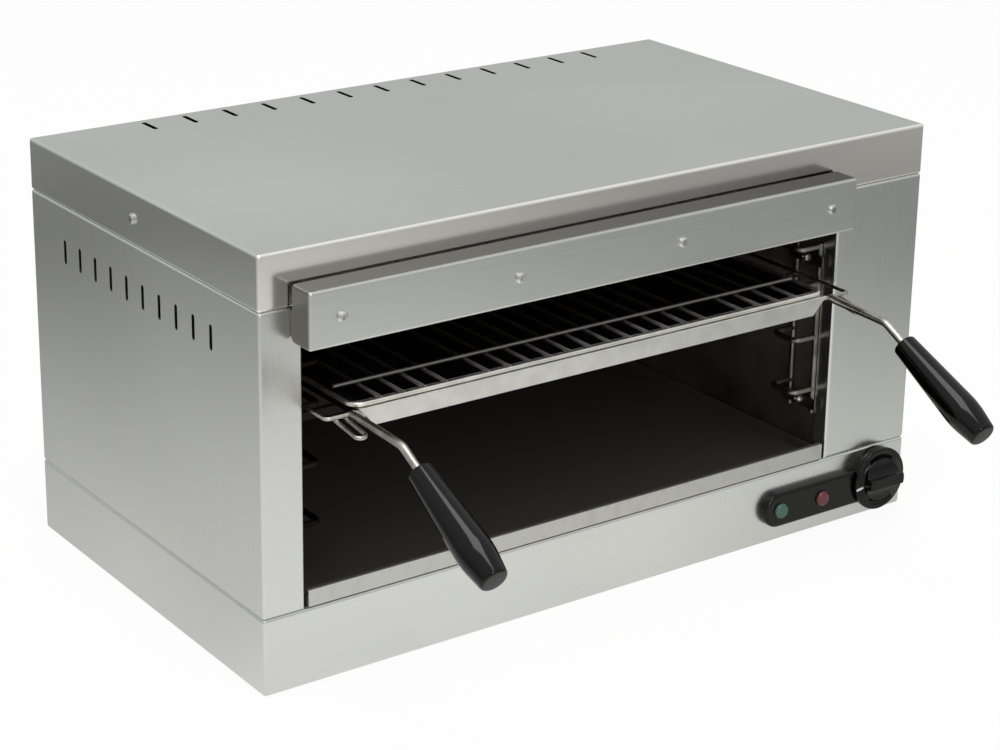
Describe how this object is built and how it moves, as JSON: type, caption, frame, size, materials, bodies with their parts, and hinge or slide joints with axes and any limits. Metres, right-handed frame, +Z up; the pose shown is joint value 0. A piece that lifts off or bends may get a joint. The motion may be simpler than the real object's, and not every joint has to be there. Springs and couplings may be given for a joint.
{
  "type": "cheese melter",
  "caption": "Bench-top electric grill with an open front, elements under the lid, and a handled wire shelf that slides out for melting and toasting.",
  "frame": {"origin": "centre of the casing's footprint on the surface it stands on", "axes": "+X to the right seen from the front (towards the controls), +Y to the back, +Z up"},
  "size_m": [0.6048, 0.5507, 0.32],
  "materials": {
    "casing_steel": "satin, brushed along each panel",
    "liner_steel": "heat-darkened, dull",
    "wire_steel": "bright-drawn wire, slightly dulled by heat",
    "pan_steel": "satin",
    "element_sheath": "dark oxidised sheath",
    "screw_steel": "bright zinc or stainless",
    "black_handle": "gloss, lightly curved reflections",
    "black_control": "gloss",
    "pointer_white": "matte inlay",
    "green_lens": "dull unlit translucent green",
    "red_lens": "dull unlit translucent red",
    "regulator_body": "matte moulding",
    "terminal_plastic": "matte moulding",
    "terminal_brass": "plated",
    "black_gland": "matte nylon",
    "wire_insulation": "matte silicone sleeving"
  },
  "bodies": {
    "cabinet": {"base_tray": "casing_steel", "bottom_plate": "casing_steel", "bottom_screws": "screw_steel", "left_side_panel": "casing_steel", "right_side_panel": "casing_steel", "back_panel": "casing_steel", "back_screws": "screw_steel", "top_cover": "casing_steel", "cover_brackets": "casing_steel", "cover_screws": "screw_steel", "front_header": "casing_steel", "hood": "casing_steel", "hood_spacers": "screw_steel", "hood_screws": "screw_steel", "liner_left": "liner_steel", "liner_right": "liner_steel", "liner_back": "liner_steel", "cavity_floor": "liner_steel", "reflector_plate": "liner_steel", "heating_element_front": "element_sheath", "heating_element_middle": "element_sheath", "heating_element_rear": "element_sheath", "element_flanges": "liner_steel", "element_terminals": "terminal_brass", "element_hanger_left": "liner_steel", "element_hanger_right": "liner_steel", "shelf_support_front_left": "wire_steel", "shelf_support_rear_left": "wire_steel", "shelf_support_front_right": "wire_steel", "shelf_support_rear_right": "wire_steel", "support_clips": "wire_steel", "support_screws": "screw_steel", "control_bezel": "black_control", "green_lamp": "green_lens", "red_lamp": "red_lens", "energy_regulator": "regulator_body", "regulator_nut": "terminal_brass", "terminal_block": "terminal_plastic", "terminal_screws": "terminal_brass", "cable_gland": "black_gland", "gland_locknut": "black_gland", "wiring_loom": "wire_insulation", "element_leads": "wire_insulation"},
    "knob": {"control_knob": "black_control", "knob_pointer": "pointer_white", "regulator_spindle": "terminal_brass"},
    "carrier": {"carrier_frame": "wire_steel", "handle_rod_left": "wire_steel", "handle_rod_right": "wire_steel", "handle_grip_left": "black_handle", "handle_grip_right": "black_handle"},
    "pan": {"drip_pan": "pan_steel"},
    "rack": {"rack_frame": "wire_steel", "rack_wires": "wire_steel", "rack_cross_bars": "wire_steel"},
    "tray": {"crumb_tray": "casing_steel"}
  },
  "joints": [
    {"name": "knob_turn", "type": "hinge", "parent": "cabinet", "child": "knob", "pos_m": [0.2667, -0.1776, 0.0322], "axis": [0, 1, 0], "range_deg": [0, 300]},
    {"name": "carrier_slide", "type": "slide", "parent": "cabinet", "child": "carrier", "axis": [0, -1, 0], "range_m": [0, 0.2]},
    {"name": "pan_lift", "type": "slide", "parent": "carrier", "child": "pan", "axis": [0, 0, 1], "range_m": [0, 0.015]},
    {"name": "rack_lift", "type": "slide", "parent": "pan", "child": "rack", "axis": [0, 0, 1], "range_m": [0, 0.025]},
    {"name": "crumb_tray_slide", "type": "slide", "parent": "cabinet", "child": "tray", "axis": [0, -1, 0], "range_m": [0, 0.26]}
  ]
}
